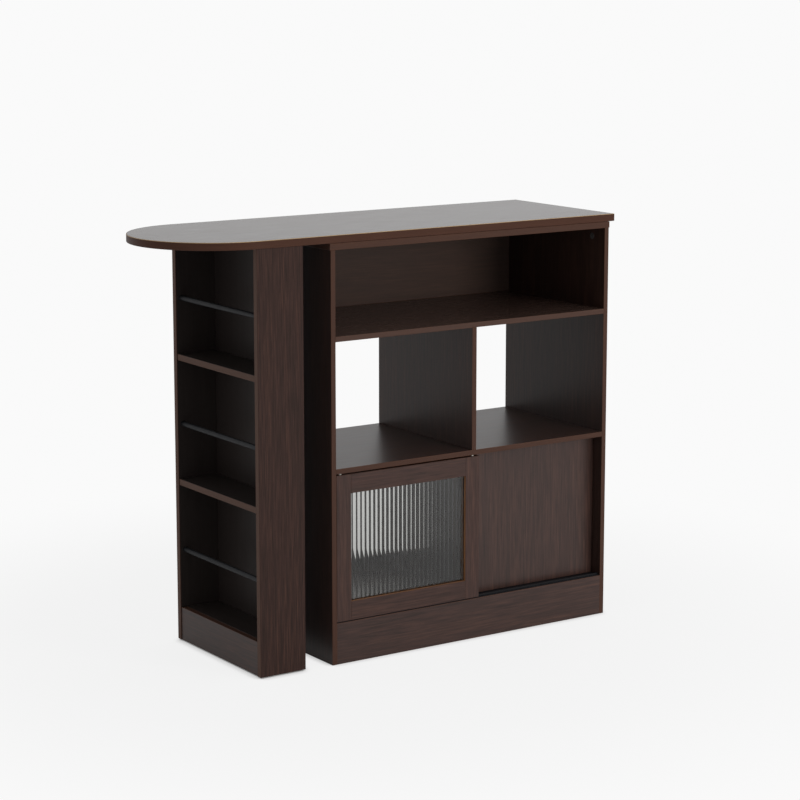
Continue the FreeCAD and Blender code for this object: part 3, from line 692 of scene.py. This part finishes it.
def grid_faces(rows, columns, wrap_rows=False, wrap_columns=False):
    """Four-cornered faces of a grid of points that is rows by columns, joined up where it wraps."""
    index = np.arange(rows * columns).reshape(rows, columns)
    if wrap_rows:
        index = np.vstack([index, index[:1]])
    if wrap_columns:
        index = np.hstack([index, index[:, :1]])
    corners = (index[:-1, :-1], index[:-1, 1:], index[1:, 1:], index[1:, :-1])
    return np.stack(corners, axis=-1).reshape(-1, 4)


def outward(points, faces):
    """The faces, turned round if the volume that they enclose, a sixth of the sum of a . (b x c) over
    their triangles a, b, c, is negative."""
    a, b, c, d = (points.reshape(-1, 3)[faces[:, corner]] for corner in range(4))
    volume = np.sum(a * np.cross(b, c)) + np.sum(a * np.cross(c, d))
    return faces if volume > 0.0 else faces[:, ::-1]


def arc(start, end, steps):
    """Points on a circle of radius 1, from a start angle to an end angle."""
    angle = np.linspace(start, end, steps)
    return np.stack([np.cos(angle), np.sin(angle)], axis=-1)


def lengths(path):
    """The length of a path of points from its start to each of them."""
    return np.concatenate([[0.0], np.cumsum(np.linalg.norm(np.diff(path, axis=0), axis=1))])


def new_piece(name, points, faces, material, body, sharp_degrees, caps=()):
    """A mesh piece from an array of points, an array of faces and rings of points to close, riding on a
    body. It is smooth but for edges that turn by more than some degrees."""
    mesh = bpy.data.meshes.new(name)
    mesh.from_pydata(points.reshape(-1, 3).tolist(), [], faces.tolist() + [ring.tolist() for ring in caps])
    mesh.polygons.foreach_set("use_smooth", np.ones(len(mesh.polygons), dtype=bool))
    mesh.set_sharp_from_angle(angle=math.radians(sharp_degrees))
    mesh.materials.append(material)
    piece = bpy.data.objects.new(name, mesh)
    bpy.context.scene.collection.objects.link(piece)
    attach(piece, body)
    return piece


class BARCABINET_OT_boards(bpy.types.Operator):
    """Give every board its laminate, with the grain along the board"""
    bl_idname = "bar_cabinet.boards"
    bl_label = "Laminate the boards"

    def execute(self, context):
        for kind, nodes in BOARDS.items():
            laminate, ways = kind.split()
            material = walnut(laminate, *ways)
            for node in nodes:
                dress(node, material)
        return {"FINISHED"}


class BARCABINET_OT_bar_band(bpy.types.Operator):
    """Put the rounded band round the bar's edge"""
    bl_idname = "bar_cabinet.bar_band"
    bl_label = "Band the bar"

    def execute(self, context):
        finish = context.scene.bar_cabinet.band
        end_steps, corner_steps = 121, 7
        low, high = (np.array(corner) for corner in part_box("bar_top"))
        # The path runs along the front, round the half circle of the end and back along the rear; each
        # point has the way in which the band lies outside it, the diagonal at the two square corners.
        reach = (high[1] - low[1]) / 2.0
        centre = np.array([low[0] + reach, (low[1] + high[1]) / 2.0])
        half_turn = arc(-0.5 * math.pi, -1.5 * math.pi, end_steps)
        front_corner, back_corner = [high[0], low[1]], [high[0], high[1]]
        path = np.vstack([front_corner, centre + reach * half_turn, back_corner])
        ways = np.vstack([[1.0, -1.0], half_turn, [1.0, 1.0]])
        # The profile is a closed loop of distances outside the path and heights: flat on top, a quarter
        # circle, the upright face, a quarter circle and flat below, a hair outside the board all round.
        radius, inner = finish.rounding, -finish.thickness
        top, bottom = high[2] + finish.lap, low[2] - finish.lap
        turn = radius * arc(0.5 * math.pi, 0.0, corner_steps)
        above = turn + (finish.proud - radius, top - radius)
        below = turn[::-1] * (1.0, -1.0) + (finish.proud - radius, bottom + radius)
        profile = np.vstack([[inner, top], above, below, [inner, bottom]])
        flat = path[:, None, :] + ways[:, None, :] * profile[None, :, :1]
        height = np.broadcast_to(profile[None, :, 1:], (*flat.shape[:2], 1))
        points = np.concatenate([flat, height], axis=-1)
        faces = outward(points, grid_faces(len(path), len(profile), wrap_rows=True, wrap_columns=True))
        band = new_piece("bar_edge_band", points, faces, band_material(), "bar",
                         sharp_degrees=40.0)
        # The map: metres along the path, then metres along the profile
        place = np.stack(np.meshgrid(lengths(path), lengths(profile), indexing="ij"), axis=-1).reshape(-1, 2)
        corner_of = np.empty(len(band.data.loops), dtype=np.int32)
        band.data.loops.foreach_get("vertex_index", corner_of)
        layer = band.data.uv_layers.new(name="band")
        layer.uv.foreach_set("vector", place[corner_of].ravel())
        return {"FINISHED"}


class BARCABINET_OT_cam_locks(bpy.types.Operator):
    """Give the cam locks faces with a crossed slot"""
    bl_idname = "bar_cabinet.cam_locks"
    bl_label = "Fit the cam locks"

    def execute(self, context):
        locks = context.scene.bar_cabinet.locks
        # The hub is the share of the flat that the cap in its middle takes
        face_rings, rim_steps, spokes, hub = 26, 5, 96, 0.04
        low, high = (np.array(corner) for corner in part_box("cam_locks"))
        radius = (high[2] - low[2]) / 2.0
        middle = (low[2] + high[2]) / 2.0
        # A lock is a polar grid: over the disc's radius, its face stands proud, falls by a quarter circle
        # at the rim and then goes down into the board; the two arms of a cross are sunk where |u| or |v|
        # is small.
        rim = locks.rim
        flat = np.linspace(hub, 1.0, face_rings) * (radius - rim)
        turn = rim * arc(0.5 * math.pi, 0.0, rim_steps)[1:]
        reach = np.concatenate([flat, radius - rim + turn[:, 0], [radius]])
        rise = np.concatenate([np.full(len(flat), locks.proud), locks.proud - rim + turn[:, 1],
                               [-locks.sunk]])
        angle = np.linspace(0.0, 2.0 * math.pi, spokes, endpoint=False)
        u = reach[:, None] * np.cos(angle)
        v = reach[:, None] * np.sin(angle)
        across, along = np.minimum(np.abs(u), np.abs(v)), np.maximum(np.abs(u), np.abs(v))
        side = np.clip((locks.slot_width / 2.0 - across) / locks.slope + 0.5, 0.0, 1.0)
        end = np.clip((locks.slot_length / 2.0 - along) / locks.slope + 0.5, 0.0, 1.0)
        rises = rise[:, None] - locks.slot_depth * side * end
        rows, columns = rises.shape
        faces = grid_faces(rows, columns, wrap_columns=True)[:, ::-1]
        ring = np.arange(columns)
        caps = [ring, ring[::-1] + (rows - 1) * columns]
        inner = (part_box("side_panel_left")[1][0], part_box("side_panel_right")[0][0])
        material = moulded("grey_cam", context.scene.bar_cabinet.fittings.lock, roughness=0.4)
        for panel, face_x, way in zip(("left", "right"), inner, (1.0, -1.0)):
            for place, centre_y in (("front", low[1] + radius), ("back", high[1] - radius)):
                # A half turn about the upright makes the right panel's locks face the other way
                points = np.stack([face_x + way * rises, centre_y + way * u, middle + v], axis=-1)
                lock = new_piece(f"cam_lock_{panel}_{place}", points, faces, material, "cabinet",
                                 sharp_degrees=35.0, caps=caps)
                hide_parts("cam_locks")
        return {"FINISHED"}


class BARCABINET_OT_pane(bpy.types.Operator):
    """Replace the pane by one with smooth flutes"""
    bl_idname = "bar_cabinet.pane"
    bl_label = "Glaze the door"

    def execute(self, context):
        finish = context.scene.bar_cabinet.glass
        low, high = (np.array(corner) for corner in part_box("fluted_glass"))
        # Across the pane, the front stands out by an arc over each chord: with s from -1 to 1 across a
        # flute and half chord h, the arc of radius r stands sqrt(r^2 - (s h)^2) - (r - depth) over the flat.
        count = int((high[0] - low[0]) // finish.flute_pitch)
        half = (finish.flute_pitch - finish.flute_land) / 2.0
        radius = (half ** 2 + finish.flute_depth ** 2) / (2.0 * finish.flute_depth)
        share = np.linspace(-1.0, 1.0, finish.flute_steps + 1)
        rise = np.sqrt(radius ** 2 - (share * half) ** 2) - (radius - finish.flute_depth)
        centres = (low[0] + high[0]) / 2.0 + (np.arange(count) - (count - 1) / 2.0) * finish.flute_pitch
        across = (centres[:, None] + share * half).ravel()
        across = np.concatenate([[low[0]], across, [high[0]]])
        rises = np.concatenate([[0.0], np.tile(rise, count), [0.0]])
        front = np.stack([across, low[1] + finish.flute_depth - rises], axis=-1)
        back = np.stack([across[::-1], np.full(len(across), high[1])], axis=-1)
        loop = np.vstack([front, back])
        ends = np.array([low[2], high[2]])
        points = np.concatenate([np.broadcast_to(loop, (2, *loop.shape)),
                                 np.broadcast_to(ends[:, None, None], (2, len(loop), 1))], axis=-1)
        # The loop is carried up from one end to the other, and each end is closed by strips from the front
        # to the back
        walls = grid_faces(2, len(loop), wrap_columns=True)
        steps = np.arange(len(across) - 1)
        turned = len(loop) - 1 - steps
        cap = np.stack([steps, turned, turned - 1, steps + 1], axis=-1)
        faces = np.vstack([walls, cap, (cap + len(loop))[:, ::-1]])
        pane = new_piece("fluted_pane", points, faces, fluted_glass(), "front_door",
                         sharp_degrees=30.0)
        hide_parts("fluted_glass")
        return {"FINISHED"}


class BARCABINET_OT_metal(bpy.types.Operator):
    """Coat the bottle rods and plate the pivot and roller fittings"""
    bl_idname = "bar_cabinet.metal"
    bl_label = "Finish the metal"

    def execute(self, context):
        colours = context.scene.bar_cabinet.fittings
        coat = moulded("black_powder_coat", colours.coat, roughness=0.5, gloss=0.25)
        for tier in ("upper", "middle", "lower"):
            dress(f"bottle_rod_{tier}", coat)
        zinc = moulded("bright_zinc", colours.zinc, roughness=0.3, metallic=1.0)
        for piece in ("plate", "washer", "nut"):
            dress(f"pivot_{piece}", zinc)
        for side in ("front", "back"):
            dress(f"roller_fork_{side}", zinc)
            dress(f"roller_axle_{side}", zinc)
        return {"FINISHED"}


class BARCABINET_OT_plastic(bpy.types.Operator):
    """Colour the track, guides, runners, bush and tyres"""
    bl_idname = "bar_cabinet.plastic"
    bl_label = "Finish the plastic"

    def execute(self, context):
        colours = context.scene.bar_cabinet.fittings
        dress("door_track", moulded("black_track", colours.track, roughness=0.55, gloss=0.25))
        pale = moulded("pale_guide", colours.guide, roughness=0.4)
        for door in ("front_door", "rear_door"):
            dress(f"{door}_guides", pale)
            dress(f"{door}_runners", pale)
        dress("pivot_bush", moulded("natural_nylon", colours.nylon, roughness=0.4))
        tyre = moulded("dark_tyre", colours.tyre, roughness=0.7)
        for side in ("front", "back"):
            dress(f"roller_wheel_{side}", tyre)
        return {"FINISHED"}


def seen_rays(shader, mirrored):
    """1 for rays that show the white surroundings, from the camera and through glass, and a share of 1
    for rays that a glossy face reflects."""
    path = shader.add("ShaderNodeLightPath")
    straight = shader.math("MAXIMUM", path.outputs["Is Camera Ray"], path.outputs["Is Transmission Ray"])
    return shader.math("MAXIMUM", straight, shader.math("MULTIPLY", path.outputs["Is Glossy Ray"], mirrored))


def floor_material(stage):
    """What is seen is the floor's own shading mixed with plain backdrop, and far from the middle backdrop
    alone, with a dark line where the object meets the floor; light that bounces off the floor is dimmer."""
    material = bpy.data.materials.new("pale_floor")
    shader = Shader(material)
    seen = seen_rays(shader, stage.mirrored)
    at = shader.add("ShaderNodeTexCoord").outputs["Object"]
    far = shader.vector("LENGTH", at, output="Value")
    fade = (FADE_START * stage.shadow_reach, stage.shadow_reach)
    shading = shader.carry(far, fade, stage.shadow, 0.0, interpolation_type="SMOOTHSTEP")
    open_above = shader.add("ShaderNodeAmbientOcclusion", {"Distance": stage.contact}, samples=8)
    closed = shader.math("SUBTRACT", 1.0, open_above.outputs["AO"])
    shading = shader.math("MAXIMUM", shading, closed)
    tint = shader.mix(seen, opaque(stage.floor_colour), opaque(stage.floor_seen))
    matt = shader.add("ShaderNodeBsdfDiffuse", {"Color": tint})
    paper = shader.add("ShaderNodeEmission", {"Color": WHITE, "Strength": stage.paper})
    share = shader.math("MULTIPLY", seen, shader.math("SUBTRACT", 1.0, shading))
    shader.close(shader.add("ShaderNodeMixShader", {0: share, 1: matt.outputs[0], 2: paper.outputs[0]}))
    return material


def lay_floor(stage):
    """A wide flat floor: a grid of one face, x and y from -reach to reach."""
    side = np.array([-stage.floor_reach, stage.floor_reach])
    x, y = np.meshgrid(side, side)
    points = np.stack([x, y, np.zeros_like(x)], axis=-1)
    mesh = bpy.data.meshes.new("floor")
    mesh.from_pydata(points.reshape(-1, 3).tolist(), [], grid_faces(2, 2).tolist())
    mesh.materials.append(floor_material(stage))
    floor = bpy.data.objects.new("floor", mesh)
    bpy.context.scene.collection.objects.link(floor)


def light_room(stage):
    """A room whose sides are lit differently. The light from a direction is each side's light times the
    square of how far the direction goes to that side; what is seen is plain white."""
    world = bpy.data.worlds.new("white_room")
    bpy.context.scene.world = world
    shader = Shader(world)
    towards = shader.add("ShaderNodeTexCoord").outputs["Generated"]
    right = Vector((math.cos(stage.room_turn), math.sin(stage.room_turn), 0.0))
    front = Vector((math.sin(stage.room_turn), -math.cos(stage.room_turn), 0.0))
    up = Vector((0.0, 0.0, 1.0))
    room = 0.0
    for side, light in ((right, stage.room_right), (-right, stage.room_left), (front, stage.room_front),
                        (-front, stage.room_back), (up, stage.room_top)):
        reach = shader.math("MAXIMUM", shader.vector("DOT_PRODUCT", towards, side, output="Value"), 0.0)
        room = shader.math("MULTIPLY_ADD", shader.math("MULTIPLY", reach, reach), light, room)
    seen = seen_rays(shader, stage.mirrored)
    strength = shader.add("ShaderNodeMix", {0: seen, 2: room, 3: stage.paper}).outputs[0]
    light = shader.add("ShaderNodeBackground", {"Color": WHITE, "Strength": strength})
    shader.add("ShaderNodeOutputWorld", {"Surface": light.outputs[0]})


def hang_soft_box(stage):
    """A square soft box in front, which lights the object and is itself not seen."""
    lamp = bpy.data.lights.new("soft_box", "AREA")
    lamp.energy = stage.box_power
    lamp.size = stage.box_size
    box = bpy.data.objects.new("soft_box", lamp)
    box.visible_camera = False
    box.visible_glossy = False
    box.visible_transmission = False
    box.location = stage.box_place
    aim = Vector(stage.box_aim) - Vector(stage.box_place)
    box.rotation_euler = aim.to_track_quat("-Z", "Y").to_euler()
    bpy.context.scene.collection.objects.link(box)


def place_camera(stage):
    """A camera at the photograph's place, turned to the right by the yaw and down by the pitch."""
    camera = bpy.data.cameras.new("camera")
    camera.sensor_width = SENSOR_WIDTH
    camera.lens = SENSOR_WIDTH * stage.focal_pixels / stage.picture_pixels
    camera.shift_y = stage.camera_shift
    camera.clip_end = stage.clip_end
    holder = bpy.data.objects.new("camera", camera)
    holder.location = stage.camera_place
    holder.rotation_euler = (math.radians(90.0) - stage.camera_pitch, 0.0, -stage.camera_yaw)
    bpy.context.scene.collection.objects.link(holder)
    bpy.context.scene.camera = holder


class BARCABINET_OT_stage(bpy.types.Operator):
    """Lay the floor, and set the light and the camera"""
    bl_idname = "bar_cabinet.stage"
    bl_label = "Set the stage"

    def execute(self, context):
        stage = context.scene.bar_cabinet.stage
        lay_floor(stage)
        light_room(stage)
        hang_soft_box(stage)
        place_camera(stage)
        context.scene.view_settings.view_transform = "Standard"
        return {"FINISHED"}


class BARCABINET_PT_pieces(bpy.types.Panel):
    """The steps that finish the bar cabinet"""
    bl_idname = "BARCABINET_PT_pieces"
    bl_label = "Bar cabinet"
    bl_space_type = "VIEW_3D"
    bl_region_type = "UI"
    bl_category = "Bar cabinet"

    def draw(self, context):
        for operator in OPERATORS:
            self.layout.operator(operator.bl_idname)


OPERATORS = (
    BARCABINET_OT_boards,
    BARCABINET_OT_bar_band,
    BARCABINET_OT_cam_locks,
    BARCABINET_OT_pane,
    BARCABINET_OT_metal,
    BARCABINET_OT_plastic,
    BARCABINET_OT_stage,
)
SETTINGS = (WalnutFinish, BandFinish, GlassFinish, LockFinish, FittingColours, StageSettings,
            BarCabinetSettings)
CLASSES = SETTINGS + OPERATORS + (BARCABINET_PT_pieces,)


def register():
    """Add the classes, and the settings to every scene."""
    for item in CLASSES:
        bpy.utils.register_class(item)
    bpy.types.Scene.bar_cabinet = bpy.props.PointerProperty(
        name="Bar cabinet", description="Settings of the bar cabinet", type=BarCabinetSettings)


def unregister():
    """Take the settings and the classes away again."""
    del bpy.types.Scene.bar_cabinet
    for item in reversed(CLASSES):
        bpy.utils.unregister_class(item)


def main():
    """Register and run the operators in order."""
    register()
    for operator in OPERATORS:
        family, name = operator.bl_idname.split(".")
        getattr(getattr(bpy.ops, family), name)()


if __name__ == "__main__":
    main()
